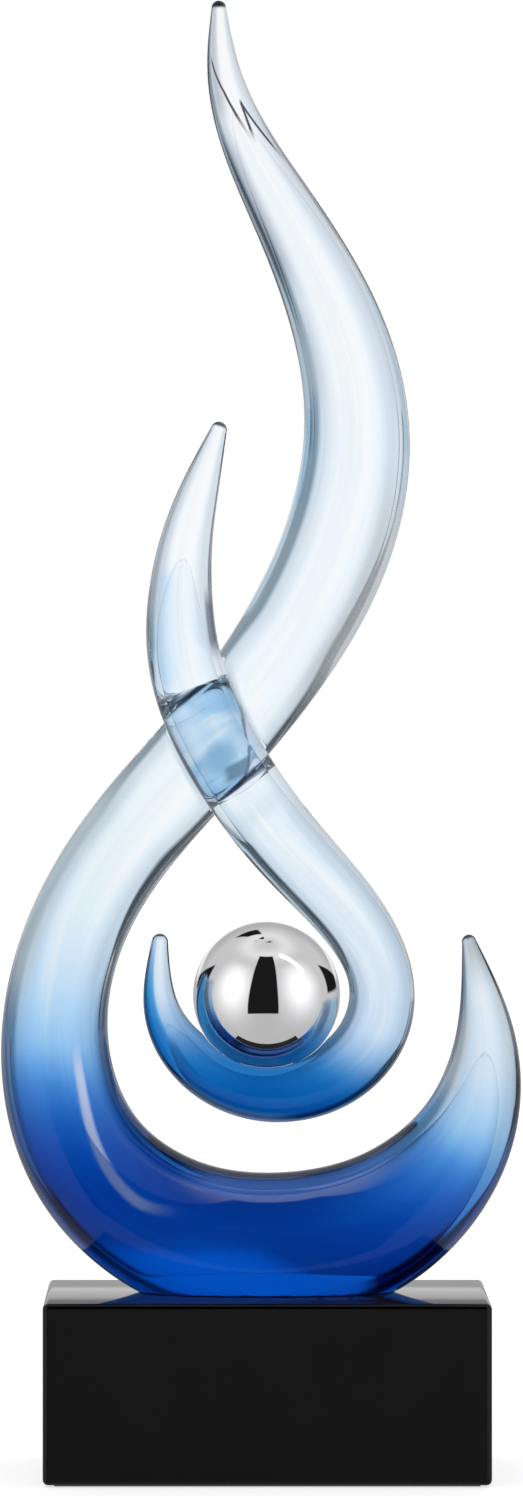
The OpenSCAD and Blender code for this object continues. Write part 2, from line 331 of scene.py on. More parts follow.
# ---------------------------------------------------------------- material helpers
class Nodes:
    """Small helper that adds nodes and links to one node tree."""

    def __init__(self, tree):
        self.tree = tree

    def add(self, kind, **settings):
        """Add a node; settings that start with in_ go to its inputs."""
        node = self.tree.nodes.new(kind)
        for name, value in settings.items():
            if name.startswith("in_"):
                node.inputs[name[3:].replace("_", " ")].default_value = value
            else:
                setattr(node, name, value)
        return node

    def link(self, a, b):
        self.tree.links.new(a, b)

    def math(self, op, a, b=None, c=None, clamp=False):
        node = self.add("ShaderNodeMath", operation=op, use_clamp=clamp)
        for socket, value in zip(node.inputs, (a, b, c)):
            if isinstance(value, (int, float)):
                socket.default_value = value
            elif value is not None:
                self.link(value, socket)
        return node.outputs[0]

    def times(self, a, b):
        return self.math("MULTIPLY", a, b)

    def minus(self, a, b):
        return self.math("SUBTRACT", a, b)

    def ease(self, value, a, b, lo=0.0, hi=1.0, kind="SMOOTHSTEP"):
        """Go from lo to hi as the value goes from a to b."""
        node = self.add("ShaderNodeMapRange", interpolation_type=kind)
        self.link(value, node.inputs["Value"])
        for name, v in (("From Min", a), ("From Max", b), ("To Min", lo), ("To Max", hi)):
            node.inputs[name].default_value = v
        return node.outputs["Result"]

    def ramp(self, value, stops):
        """Colour at a value, from (value, colour) stops."""
        node = self.add("ShaderNodeValToRGB")
        node.color_ramp.interpolation = "B_SPLINE" if len(stops) > 3 else "EASE"
        while len(node.color_ramp.elements) < len(stops):
            node.color_ramp.elements.new(0.5)
        for element, (position, rgb) in zip(node.color_ramp.elements, stops):
            element.position = position
            element.color = (*rgb, 1)
        self.link(value, node.inputs["Fac"])
        return node.outputs["Color"]

    def mix(self, share, a, b, mode="MIX"):
        """Colour between a and b."""
        node = self.add("ShaderNodeMix", data_type="RGBA", blend_type=mode)
        for name, value in (("Factor", share), ("A", a), ("B", b)):
            if isinstance(value, (int, float)):
                node.inputs[name].default_value = value
            elif isinstance(value, tuple):
                node.inputs[name].default_value = (*value, 1)
            else:
                self.link(value, node.inputs[name])
        return node.outputs["Result"]

    def shade(self, share, tint, rgb):
        """Darken or warm a tint by a colour, by a share."""
        return self.mix(share, tint, self.mix(1.0, tint, rgb, "MULTIPLY"))

    def split(self, vector):
        node = self.add("ShaderNodeSeparateXYZ")
        self.link(vector, node.inputs[0])
        return node.outputs["X"], node.outputs["Y"], node.outputs["Z"]

    def noise(self, place, **settings):
        """Noise at a place, or over the object's own box without one."""
        node = self.add("ShaderNodeTexNoise", **settings)
        if place is not None:
            self.link(place, node.inputs["Vector"])
        return node.outputs["Fac"]

    def bump(self, relief, shader, strength, distance):
        """Ripple a shader's surface."""
        node = self.add("ShaderNodeBump", in_Strength=strength, in_Distance=distance)
        self.link(relief, node.inputs["Height"])
        self.link(node.outputs[0], shader.inputs["Normal"])


def material(name):
    made = bpy.data.materials.new(name)
    made.use_nodes = True
    return made, Nodes(made.node_tree), made.node_tree.nodes["Principled BSDF"]


def set_inputs(shader, **values):
    for name, value in values.items():
        shader.inputs[name.replace("_", " ")].default_value = value


def dress(obj, look, nodes):
    """Give a piece its material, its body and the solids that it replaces."""
    obj.data.materials.clear()
    obj.data.materials.append(look)
    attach(obj, "root")
    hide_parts(*nodes)


# ---------------------------------------------------------------- glass materials
# Colours of the dark streaks, the fine dark lines and the painted highlight in the clear glass, of its sheen
# and of the pale streaks in the cores
DARK_STREAK, LINE_DARK, HIGHLIGHT_BLUE = (0.72, 0.75, 0.8), (0.005, 0.006, 0.008), (0.55, 0.64, 1.0)
GLASS_SHEEN = (0.3, 0.38, 0.6, 1)
PALE_STREAK = (1.5, 1.35, 1.15)
WHITE = (1.0, 1.0, 1.0)
# Span of the tints over the block and how far they wander from their height, both in metres
TINT_SPAN, TINT_WANDER = 0.36, 0.008
# Tints by height above the block, in millimetres
OUTER_CASE = [
    (0, (0.0, 0.09, 0.58)),
    (12, (0.002, 0.065, 0.45)),
    (27, (0.012, 0.16, 0.64)),
    (44, (0.12, 0.38, 0.76)),
    (53, (0.36, 0.61, 0.88)),
    (70, (0.68, 0.81, 0.94)),
    (95, (0.84, 0.90, 0.95)),
    (125, (0.91, 0.95, 0.98)),
    (200, (0.93, 0.965, 1.0)),
    (350, (0.95, 0.96, 0.98)),
]
OUTER_CORE = [
    (4, (0.96, 1.0, 1.0)),
    (7, (0.86, 0.97, 1.0)),
    (15, (0.26, 0.66, 0.98)),
    (27, (0.09, 0.48, 0.92)),
    (44, (0.50, 0.72, 0.96)),
    (53, (0.70, 0.87, 1.0)),
    (70, (0.82, 0.92, 1.0)),
    (95, (0.93, 0.99, 1.0)),
    (125, (0.94, 0.98, 1.0)),
    (200, (0.92, 0.975, 1.0)),
    (350, (0.96, 0.97, 1.0)),
]
INNER_CASE = [
    (50, (0.003, 0.14, 0.50)),
    (59, (0.008, 0.20, 0.60)),
    (64, (0.08, 0.30, 0.66)),
    (68, (0.32, 0.53, 0.80)),
    (75, (0.67, 0.80, 0.93)),
    (95, (0.84, 0.90, 0.95)),
    (125, (0.91, 0.95, 0.98)),
    (200, (0.94, 0.97, 1.0)),
]
INNER_CORE = [
    (50, (0.12, 0.68, 0.96)),
    (59, (0.60, 0.90, 1.0)),
    (64, (0.84, 0.92, 1.0)),
    (75, (0.90, 0.94, 1.0)),
    (95, (0.86, 0.91, 0.96)),
    (125, (0.88, 0.94, 1.0)),
    (200, (0.90, 0.96, 1.0)),
]
# Lean of the fade to the right, share of the strand past which its outer side hangs behind, and by how much
OUTER_FADE = (0.2, 0.88, 4)
INNER_FADE = (0.1, 0.84, 24)
# Heights between which a core's milkiness ends, in millimetres, and how clear it is below and above them
OUTER_HAZE = (15, 55, 0.6, 1.0)
INNER_HAZE = (42, 76, 0.7, 1.0)
# Bands of painted shade along the strands and at their tips: middle, half width and softness round the
# strand, start, stop and softness along it, colour
OUTER_SHADE_BANDS = [
    (0.0, 0.075, 0.04, 0.52, 0.73, 0.05, (0.25, 0.22, 0.27)),
    (0.0, 0.085, 0.045, 0.555, 0.70, 0.03, (0.42, 0.42, 0.50)),
    (0.0, 0.10, 0.03, 0.36, 0.42, 0.02, (0.80, 0.84, 0.86)),
    (0.5, 0.10, 0.11, 0.09, 0.20, 0.03, (0.34, 0.35, 0.39)),
    (0.5, 0.10, 0.04, 0.19, 0.32, 0.03, (0.62, 0.82, 0.98)),
    (0.33, 0.02, 0.04, -0.1, 0.10, 0.02, (0.55, 0.55, 0.56)),
    (0.39, 0.012, 0.010, 0.664, 0.704, 0.012, (0.01, 0.02, 0.08)),
    (0.39, 0.028, 0.012, 0.806, 0.856, 0.012, (0.0005, 0.003, 0.03)),
    (0.30, 0.08, 0.06, 0.955, 1.1, 0.03, (0.60, 0.62, 0.62)),
    (0.25, 0.5, 0.1, -0.1, 0.015, 0.004, (0.02, 0.025, 0.03)),
    (0.25, 0.5, 0.1, 0.988, 1.1, 0.004, (0.02, 0.04, 0.07)),
]
INNER_SHADE_BANDS = [
    (0.0, 0.075, 0.04, 0.59, 0.70, 0.04, (0.25, 0.26, 0.32)),
    (0.0, 0.10, 0.03, 0.19, 0.285, 0.03, (0.12, 0.14, 0.18)),
    (0.33, 0.03, 0.03, 0.17, 0.31, 0.03, (0.66, 0.82, 0.98)),
    (0.25, 0.5, 0.1, -0.1, 0.018, 0.006, (0.02, 0.03, 0.04)),
    (0.25, 0.5, 0.1, 0.984, 1.1, 0.006, (0.005, 0.03, 0.12)),
]
# Pale strips of painted light along the strands, made milky so that they scatter light: the same places, then
# how much of the glass scatters and its colour
OUTER_PAINTED_LIGHT = [
    (0.09, 0.015, 0.035, 0.70, 0.88, 0.04, 0.50, (0.17, 0.36, 1.0)),
    (0.41, 0.03, 0.05, 0.45, 0.60, 0.04, 0.60, (0.78, 0.92, 1.0)),
    (0.09, 0.04, 0.04, 0.27, 0.40, 0.04, 0.55, (0.92, 0.97, 1.0)),
    (0.41, 0.03, 0.05, 0.19, 0.26, 0.03, 0.50, (0.80, 0.93, 1.0)),
    (0.09, 0.04, 0.04, 0.89, 0.97, 0.03, 0.55, (0.90, 0.96, 1.0)),
    (0.41, 0.03, 0.05, 0.915, 0.97, 0.02, 0.35, (0.90, 0.96, 1.0)),
]
INNER_PAINTED_LIGHT = [
    (0.41, 0.03, 0.05, 0.05, 0.25, 0.04, 0.42, (0.90, 0.95, 1.0)),
    (0.09, 0.02, 0.035, 0.74, 0.86, 0.03, 0.35, (0.45, 0.65, 1.0)),
]
# Fine dark lines on the front of the outer tip, as places along and round the strand, and their half width
# and softness
OUTER_LINES = [
    [(0.048, 0.39), (0.064, 0.333), (0.077, 0.287), (0.089, 0.259), (0.104, 0.231), (0.116, 0.212)],
    [(0.083, 0.185), (0.088, 0.183), (0.110, 0.132), (0.134, 0.077)],
    [(0.084, 0.183), (0.098, 0.192), (0.115, 0.207)],
]
LINE_HALF, LINE_SOFT = 0.005, 0.010
# The streak of light on the front of the bowl, whose middle bends, and the shiny strip below the bowl's
# brim, placed as the bands are
STREAK = (0.006, 0.014, 0.595, 0.728, 0.03)
BRIM = (0.105, 0.03, 0.035, 0.70, 0.88, 0.06)


def height(net, fade):
    """Height over the block in metres, as the tint sees it: the fade leans to the right, the last stretch
    of a strand can stay dark on its outer side, and a slow wander keeps it from ending in a straight line."""
    geo = net.add("ShaderNodeTexCoord")
    x, _, z = net.split(geo.outputs["Object"])
    slow = net.noise(geo.outputs["Object"], in_Scale=22.0, in_Detail=2.0)
    drift = net.times(net.minus(slow, 0.5), 2 * TINT_WANDER)
    lean, horn_start, horn_lag = fade
    h = net.math("MULTIPLY_ADD", x, lean, z)
    girth, run, _ = net.split(geo.outputs["UV"])
    horn = net.times(net.ease(run, horn_start, horn_start + 0.06), net.ease(girth, 0.17, 0.24, 1.0, 0.0))
    h = net.math("MULTIPLY_ADD", horn, -horn_lag * MM, h)
    return net.minus(net.math("ADD", h, drift), BASE_TOP * MM), geo


def streaks(net, geo, across_scale, along_scale, lo, hi, detail=3.0):
    """Faint lines drawn out along the strand, from its texture map."""
    flow = net.add("ShaderNodeMapping", in_Scale=(across_scale, along_scale, 1))
    net.link(geo.outputs["UV"], flow.inputs["Vector"])
    lines = net.noise(flow.outputs[0], in_Scale=1.0, in_Detail=detail, in_Distortion=0.3)
    return net.ease(lines, lo, hi)


def tint_by_height(net, h, stops):
    share = net.math("DIVIDE", h, TINT_SPAN, clamp=True)
    return net.ramp(share, [(z / (TINT_SPAN * 1000), rgb) for z, rgb in stops])


def hide_from_ball(net, geo, shader):
    """Alpha that lets the ball see past the clear glass above its middle."""
    path = net.add("ShaderNodeLightPath")
    x, _, z = net.split(geo.outputs["Object"])
    tilted = net.math("MULTIPLY_ADD", x, 0.2, z)
    high = net.ease(tilted, BALL_MID * MM, (BALL_MID + 6) * MM)
    direct = net.ease(path.outputs["Transmission Depth"], 0.4, 0.6, 1.0, 0.0)
    away = net.times(net.times(path.outputs["Is Glossy Ray"], direct), high)
    net.link(net.minus(1.0, away), shader.inputs["Alpha"])


def strip(net, place, middle, half, soft, start, stop, fade):
    """Mask of a strip that runs along a strand, from its place round the strand and along it."""
    girth, run, _ = place
    off = net.math("ABSOLUTE", net.minus(girth, middle))
    length = net.times(net.ease(run, start, start + fade), net.ease(run, stop - fade, stop, 1.0, 0.0))
    return net.times(length, net.ease(off, half, half + soft, 1.0, 0.0))


def trace(net, place, line, half, soft):
    """Mask of a fine line through (along, round) places on a strand, fading out at both ends."""
    girth, run, _ = place
    middle = line[0][1]
    for (a, lo), (b, hi) in zip(line, line[1:]):
        middle = net.math("ADD", net.ease(run, a, b, 0.0, hi - lo, "LINEAR"), middle)
    start, stop = line[0][0], line[-1][0]
    fade = (stop - start) / 3
    length = net.times(net.ease(run, start, start + fade / 3), net.ease(run, stop - fade, stop, 1.0, 0.0))
    off = net.math("ABSOLUTE", net.minus(girth, middle))
    return net.times(length, net.ease(off, half, half + soft, 1.0, 0.0))


def tip_lines(net, geo, place, tint):
    """Draw the fine dark lines on the front of the outer tip."""
    y = net.split(geo.outputs["Object"])[1]
    front = net.ease(y, 2.5 * MM, 4 * MM, 1.0, 0.0)
    for line in OUTER_LINES:
        line_mask = net.times(trace(net, place, line, LINE_HALF, LINE_SOFT), front)
        tint = net.mix(line_mask, tint, LINE_DARK)
    return tint


def glints(net, geo, place):
    """Masks on the front of the bowl: its curved streak of light, and the shiny coat that the streak and,
    more faintly, the strip below the brim have."""
    run = place[1]
    middle = net.math("ADD", net.ease(run, 0.62, 0.70, 0.182, 0.227), net.ease(run, 0.70, 0.73, 0.0, -0.03))
    streak = strip(net, place, middle, *STREAK)
    brim = strip(net, place, *BRIM)
    y = net.split(geo.outputs["Object"])[1]
    front = net.ease(y, -5 * MM, -2 * MM, 1.0, 0.0)
    coat = net.math("MAXIMUM", streak, net.times(brim, 0.3))
    return net.times(streak, front), net.times(coat, front)


def clear_glass(name, stops, fade, shade_bands, lit_strips, bowl=False):
    """Clear outer glass tinted by height, with bands of painted shade and milky strips of painted light along
    it. The strand with the bowl has fine dark lines in its tip and a painted streak of light too."""
    look, net, shader = material(name)
    h, geo = height(net, fade)
    dark = streaks(net, geo, across_scale=20, along_scale=3, lo=0.52, hi=0.74)
    tint = net.shade(net.times(dark, 0.3), tint_by_height(net, h, stops), DARK_STREAK)
    place = net.split(geo.outputs["UV"])
    # Painted shade: each band darkens the tint
    for *where, rgb in shade_bands:
        tint = net.shade(strip(net, place, *where), tint, rgb)
    if bowl:
        tint = tip_lines(net, geo, place, tint)
    clear = 1.0
    # Painted light: pale milky strips that make the glass brighter where they lie
    for *where, share, rgb in lit_strips:
        pale = strip(net, place, *where)
        tint = net.mix(net.times(pale, 0.8), tint, rgb)
        clear = net.math("MULTIPLY_ADD", pale, -share, clear)
    if bowl:
        streak, coat = glints(net, geo, place)
        # Painted highlight: the streak of light is painted pale blue into the tint and lets less light
        # through
        tint = net.mix(net.times(streak, 0.8), tint, HIGHLIGHT_BLUE)
        clear = net.math("MULTIPLY_ADD", streak, -0.48, clear)
        net.link(coat, shader.inputs["Coat Weight"])
        set_inputs(shader, Coat_IOR=3.0, Coat_Roughness=0.05)
    net.link(clear, shader.inputs["Transmission Weight"])
    net.link(tint, shader.inputs["Base Color"])
    hide_from_ball(net, geo, shader)
    ripple = streaks(net, geo, across_scale=8, along_scale=4, lo=0.25, hi=0.75, detail=1.0)
    net.bump(ripple, shader, strength=0.3, distance=0.0003)
    net.link(net.ease(h, 5 * MM, 14 * MM, 0.12, 0.0), shader.inputs["Roughness"])
    set_inputs(shader, IOR=1.5, Specular_Tint=GLASS_SHEEN)
    return look


def tinted_glass(name, stops, fade, haze):
    """Tinted inner glass: clear and pale above and at the very foot, dense and a little milky between."""
    look, net, shader = material(name)
    h, geo = height(net, fade)
    pale = streaks(net, geo, across_scale=16, along_scale=5, lo=0.48, hi=0.72)
    tint = net.shade(net.times(pale, 0.5), tint_by_height(net, h, stops), PALE_STREAK)
    run = net.split(geo.outputs["UV"])[1]
    ending = net.ease(run, 0.925, 0.99)
    net.link(net.mix(ending, tint, WHITE), shader.inputs["Base Color"])
    hide_from_ball(net, geo, shader)
    low, high, least, most = haze
    below = net.math("MAXIMUM", net.ease(h, 5 * MM, 16 * MM, 1.0, 0.0), ending)
    clear = net.math("MAXIMUM", below, net.ease(h, low * MM, high * MM, least, most))
    net.link(clear, shader.inputs["Transmission Weight"])
    net.link(net.ease(h, low * MM, high * MM, 0.25, 0.04), shader.inputs["Roughness"])
    set_inputs(shader, IOR=1.02)
    return look


# ---------------------------------------------------------------- camera
# Photograph's size, the pixel that the camera points at and its focal length in pixels
FRAME_W, FRAME_H = 523, 1496
AIM_X, AIM_Y = 225, 608
FOCAL_PX = 6000
SENSOR = 36
CAMERA_PLACE = (-0.0113, -1.63, 0.2347)
scene = bpy.context.scene
scene.view_settings.view_transform = "Standard"
cam_data = bpy.data.cameras.new("photo_camera")
cam = bpy.data.objects.new("photo_camera", cam_data)
scene.collection.objects.link(cam)
scene.camera = cam
cam_data.sensor_width = SENSOR
cam_data.lens = FOCAL_PX / FRAME_H * SENSOR
cam_data.shift_x = (FRAME_W / 2 - AIM_X) / FRAME_H
cam_data.shift_y = (AIM_Y - FRAME_H / 2) / FRAME_H
cam_data.clip_end = 50
cam.location = CAMERA_PLACE
cam.rotation_euler = (math.radians(90), 0, 0)

# ---------------------------------------------------------------- glass pieces
outer_glass = clear_glass("outer_glass", OUTER_CASE, OUTER_FADE, OUTER_SHADE_BANDS, OUTER_PAINTED_LIGHT, bowl=True)
inner_glass = clear_glass("inner_glass", INNER_CASE, INNER_FADE, INNER_SHADE_BANDS, INNER_PAINTED_LIGHT)
outer_tint = tinted_glass("outer_tint", OUTER_CORE, OUTER_FADE, OUTER_HAZE)
inner_tint = tinted_glass("inner_tint", INNER_CORE, INNER_FADE, INNER_HAZE)
outer_shell = strand("outer_wave_glass", OUTER, OUTER_FORM, GLASS_SIDES, OUTER_STEPS)
inner_shell = strand("inner_wave_glass", INNER, INNER_FORM, GLASS_SIDES, INNER_STEPS)
outer_core = core("outer_wave_tint", OUTER, OUTER_FORM, CORE_SIDES, CORE_STEPS)
inner_core = core("inner_wave_tint", INNER, INNER_FORM, CORE_SIDES, CORE_STEPS)
dress(outer_shell, outer_glass, ["outer_wave_casing"])
dress(inner_shell, inner_glass, ["inner_wave_casing"])
dress(outer_core, outer_tint, ["outer_wave_core"])
dress(inner_core, inner_tint, ["inner_wave_core"])


# ---------------------------------------------------------------- fused window and adhesive
def crossing_window():
    """Oblong window where the strands are fused, wetting both of them."""
    count = WINDOW_SIDES
    loop = []
    for k in range(count):
        angle = 2 * math.pi * k / count
        c, s = math.cos(angle), math.sin(angle)
        p = WINDOW_LONG * math.copysign(abs(c) ** (2 / WINDOW_SQUARE), c)
        q = WINDOW_WIDE * math.copysign(abs(s) ** (2 / WINDOW_SQUARE), s)
        x = CROSS_MID.x + p * CROSS_ALONG.x + q * CROSS_ACROSS.x
        z = CROSS_MID.z + BASE_TOP + p * CROSS_ALONG.z + q * CROSS_ACROSS.z
        loop.append((x, z))
    points = [Vector((x, y, z)) * MM for y in (WINDOW_FRONT, WINDOW_BACK) for x, z in loop]
    faces = [tuple(range(count)), tuple(range(2 * count - 1, count - 1, -1))]
    faces += [(k, k + count, (k + 1) % count + count, (k + 1) % count) for k in range(count)]
    mesh = bpy.data.meshes.new("crossing_layer")
    mesh.from_pydata(points, [], faces)
    bm = bmesh.new()
    bm.from_mesh(mesh)
    bmesh.ops.recalc_face_normals(bm, faces=bm.faces[:])
    bm.to_mesh(mesh)
    bm.free()
    mesh.shade_smooth()
    mesh.set_sharp_from_angle(angle=math.radians(WINDOW_SHARP))
    return link(mesh, "crossing_layer")


def foot_layer():
    """The foot's adhesive, kept just clear of the glass above and the block below."""
    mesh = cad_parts["foot_bond"].data.copy()
    mesh.name = "foot_layer"
    mid = (BASE_TOP + BOND / 2) * MM
    for v in mesh.vertices:
        v.co = Vector((v.co.x * FOOT_WIDE, v.co.y * FOOT_WIDE, mid + (v.co.z - mid) * FOOT_THICK))
    return link(mesh, "foot_layer")


# Colours of the pane, painted light and shade for what the fused window shows: its cloudy blue from pale to
# deep, its soft darker patch, its dark corner and its dark outline, and of the clear glass round it
PANE_PALE, PANE_DEEP = (0.86, 0.93, 1.0), (0.42, 0.66, 0.88)
PANE_SHADE_PATCH, PANE_SHADE_CORNER = (0.36, 0.57, 0.76), (0.20, 0.31, 0.42)
PANE_SHADE_LINE, PANE_ROUND = (0.10, 0.14, 0.20), (0.97, 0.97, 1.0)


def pane_place(net, x, z):
    """Place on the pane in millimetres from its middle, down it and across it."""
    lean = math.radians(PANE_LEAN)
    c, s = math.cos(lean) / MM, math.sin(lean) / MM
    east = net.minus(x, PANE_MID[0] * MM)
    rise = net.minus(z, PANE_MID[1] * MM)
    down = net.math("MULTIPLY_ADD", east, c, net.times(rise, -s))
    side_on = net.math("MULTIPLY_ADD", east, s, net.times(rise, c))
    return down, side_on


def edge_share(net, value, half):
    """One direction's share of the way to the pane's edge, 1 when it reaches the edge alone."""
    return net.math("POWER", net.math("DIVIDE", net.math("ABSOLUTE", value), half), PANE_SQUARE)


def shade_blot(net, down, side_on):
    """Mask of a soft patch of painted shade in the pane."""
    one = net.math("DIVIDE", net.minus(down, 6.0), 4.0)
    two = net.math("DIVIDE", net.minus(side_on, 0.4), 2.6)
    return net.ease(net.math("ADD", net.times(one, one), net.times(two, two)), 0.2, 1.8, 1.0, 0.0)


def crossing_glass():
    """Clear glass of the fused window, with the cloudy blue pane painted in it for what the window shows and
    a dark outline of painted shade.
    """
    look, net, shader = material("crossing_glass")
    geo = net.add("ShaderNodeTexCoord")
    x, y, z = net.split(geo.outputs["Object"])
    down, side_on = pane_place(net, x, z)
    cloud = net.noise(geo.outputs["Object"], in_Scale=75.0, in_Detail=2.0, in_Distortion=1.2)
    # Painted light: the blue of the pane stands in for what the fused window shows
    blue = net.mix(net.ease(cloud, 0.40, 0.60), PANE_PALE, PANE_DEEP)
    blue = net.mix(shade_blot(net, down, side_on), blue, PANE_SHADE_PATCH)
    # Painted shade in one corner of the pane
    corner = net.times(net.ease(down, 8.2, 9.6), net.ease(side_on, 0.2, 1.4))
    corner = net.times(corner, net.ease(down, 12.0, 13.5, 1.0, 0.0))
    blue = net.mix(corner, blue, PANE_SHADE_CORNER)
    # The two shares add up to 1 at the pane's edge
    far = net.math("ADD", edge_share(net, down, PANE_LONG), edge_share(net, side_on, PANE_WIDE))
    paint = net.mix(net.ease(far, 0.90, 1.05), blue, PANE_ROUND)
    # Painted shade: a dark outline round the pane, on its front only
    shade_line = net.ease(net.math("ABSOLUTE", net.minus(far, 1.05)), 0.04, 0.20, 1.0, 0.0)
    shade_line = net.times(shade_line, net.ease(y, 0.0, 2 * MM, 1.0, 0.0))
    right, upper_end = net.ease(side_on, -1.0, 3.0, 0.15, 1.0), net.ease(down, -11, -8, 1.0, 0.0)
    shade_line = net.times(shade_line, net.math("MAXIMUM", right, upper_end))
    net.link(net.mix(shade_line, paint, PANE_SHADE_LINE), shader.inputs["Base Color"])
    set_inputs(shader, Roughness=0.02, IOR=1.5, Transmission_Weight=1.0)
    hide_from_ball(net, geo, shader)
    return look


def clear_adhesive():
    """Clear adhesive with a fine grain in its gloss."""
    look, net, shader = material("clear_bond")
    grain = net.noise(None, in_Scale=900.0)
    net.link(net.ease(grain, 0.3, 0.8, 0.0, 0.04), shader.inputs["Roughness"])
    set_inputs(shader, Base_Color=(0.93, 0.96, 1.0, 1), IOR=1.5, Transmission_Weight=1.0)
    return look


clear_bond = clear_adhesive()
dress(crossing_window(), crossing_glass(), ["crossing_bond"])
dress(foot_layer(), clear_bond, ["foot_bond"])
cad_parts["ball_bond"].data.materials.clear()
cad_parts["ball_bond"].data.materials.append(clear_bond)


# ---------------------------------------------------------------- ball
def ball():
    mesh = bpy.data.meshes.new("steel_ball")
    bm = bmesh.new()
    bmesh.ops.create_uvsphere(bm, u_segments=128, v_segments=64, radius=BALL_D / 2 * MM)
    bmesh.ops.translate(bm, verts=bm.verts, vec=(0, 0, BALL_MID * MM))
    bm.to_mesh(mesh)
    bm.free()
    mesh.shade_smooth()
    return link(mesh, "steel_ball")


def polished_steel():
    """Mirror steel, a little uneven in its gloss and its tone."""
    look, net, shader = material("polished_steel")
    geo = net.add("ShaderNodeTexCoord")
    fine = net.noise(geo.outputs["Object"], in_Scale=420.0, in_Detail=4.0)
    net.link(net.ease(fine, 0.35, 0.75, 0.012, 0.035), shader.inputs["Roughness"])
    haze = net.ease(net.noise(geo.outputs["Object"], in_Scale=60.0, in_Detail=2.0), 0.3, 0.8)
    net.link(net.mix(haze, (0.86, 0.86, 0.87), (0.80, 0.80, 0.82)), shader.inputs["Base Color"])
    set_inputs(shader, Metallic=1.0)
    return look


dress(ball(), polished_steel(), ["ball_shell"])


# ---------------------------------------------------------------- block and pad
def block(name, size, low, bevel, segments):
    """Box that stands on the height low, with bevelled edges."""
    mesh = bpy.data.meshes.new(name)
    bm = bmesh.new()
    bmesh.ops.create_cube(bm, size=1)
    for v in bm.verts:
        v.co = Vector((v.co.x * size[0], v.co.y * size[1], (v.co.z + 0.5) * size[2] + low)) * MM
    bmesh.ops.bevel(bm, geom=bm.edges[:], offset=bevel * MM, segments=segments, profile=0.5, affect="EDGES")
    bm.to_mesh(mesh)
    bm.free()
    mesh.shade_smooth()
    mesh.set_sharp_from_angle(angle=math.radians(BLOCK_SHARP))
    return link(mesh, name)


def black_lacquer():
    """Black lacquer with a faint orange peel and smears, and painted shade that makes its bevels darker
    still.
    """
    look, net, shader = material("black_lacquer")
    geo = net.add("ShaderNodeTexCoord")
    peel = net.noise(geo.outputs["Object"], in_Scale=160.0, in_Detail=2.0)
    net.bump(peel, shader, strength=0.02, distance=0.0004)
    smear = net.noise(geo.outputs["Object"], in_Scale=45.0, in_Detail=4.0)
    net.link(net.ease(smear, 0.35, 0.8, 0.03, 0.07), shader.inputs["Roughness"])
    x, y, z = (net.math("ABSOLUTE", part) for part in net.split(geo.outputs["Normal"]))
    square = net.math("MAXIMUM", net.math("MAXIMUM", x, y), z)
    flat_face = net.mix(smear, (0.014, 0.014, 0.014), (0.019, 0.019, 0.02))
    # Painted shade: the bevels are painted near black for the dark that they reflect
    shade = net.mix(net.ease(square, 0.97, 0.995), (0.001, 0.001, 0.001), flat_face)
    net.link(shade, shader.inputs["Base Color"])
    set_inputs(shader, IOR=1.3)
    return look


def felt():
    """Dark felt with short fibres."""
    look, net, shader = material("felt")
    fibre = net.noise(None, in_Scale=1500.0, in_Detail=3.0)
    net.link(net.mix(fibre, (0.012, 0.012, 0.013), (0.05, 0.05, 0.052)), shader.inputs["Base Color"])
    net.bump(fibre, shader, strength=0.5, distance=0.0003)
    set_inputs(shader, Roughness=0.95, Sheen_Weight=0.3)
    return look


base = block("black_block", (BASE_W, BASE_D, BASE_H), PAD_T, BASE_BEVEL, 5)
pad = block("felt_pad", (BASE_W - 2 * PAD_INSET, BASE_D - 2 * PAD_INSET, PAD_T), 0, PAD_BEVEL, 2)
dress(base, black_lacquer(), ["base_block"])
dress(pad, felt(), ["base_pad"])


# ---------------------------------------------------------------- floor
def pale_floor():
    """Pale floor that glows a little to the camera; metal and glass look through it at the studio below
    the horizon."""
    look, net, shader = material("pale_floor")
    set_inputs(shader, Roughness=0.9, Base_Color=(0.5, 0.5, 0.5, 1))
    glow = net.add("ShaderNodeEmission")
    rays = net.add("ShaderNodeLightPath")
    net.link(net.times(rays.outputs["Is Camera Ray"], 0.7), glow.inputs["Strength"])
    both = net.add("ShaderNodeAddShader")
    net.link(shader.outputs[0], both.inputs[0])
    net.link(glow.outputs[0], both.inputs[1])
    clear = net.add("ShaderNodeBsdfTransparent")
    pick = net.add("ShaderNodeMixShader")
    seen = net.math("MAXIMUM", rays.outputs["Is Glossy Ray"], rays.outputs["Is Transmission Ray"])
    net.link(seen, pick.inputs[0])
    net.link(both.outputs[0], pick.inputs[1])
    net.link(clear.outputs[0], pick.inputs[2])
    net.link(pick.outputs[0], look.node_tree.nodes["Material Output"].inputs["Surface"])
    return look


# Half the floor's width, in metres
FLOOR = 4
floor_mesh = bpy.data.meshes.new("floor")
floor_corners = [(-FLOOR, -FLOOR, 0), (FLOOR, -FLOOR, 0), (FLOOR, FLOOR, 0), (-FLOOR, FLOOR, 0)]
floor_mesh.from_pydata(floor_corners, [], [(0, 1, 2, 3)])
floor = link(floor_mesh, "floor")
floor.data.materials.append(pale_floor())

# ---------------------------------------------------------------- studio
DEGREES = 57.2958
# Light that everything but the glass and the ball gets, and the level of what is black in the studio
PLAIN_LIGHT = 0.75
BLACK = 0.012


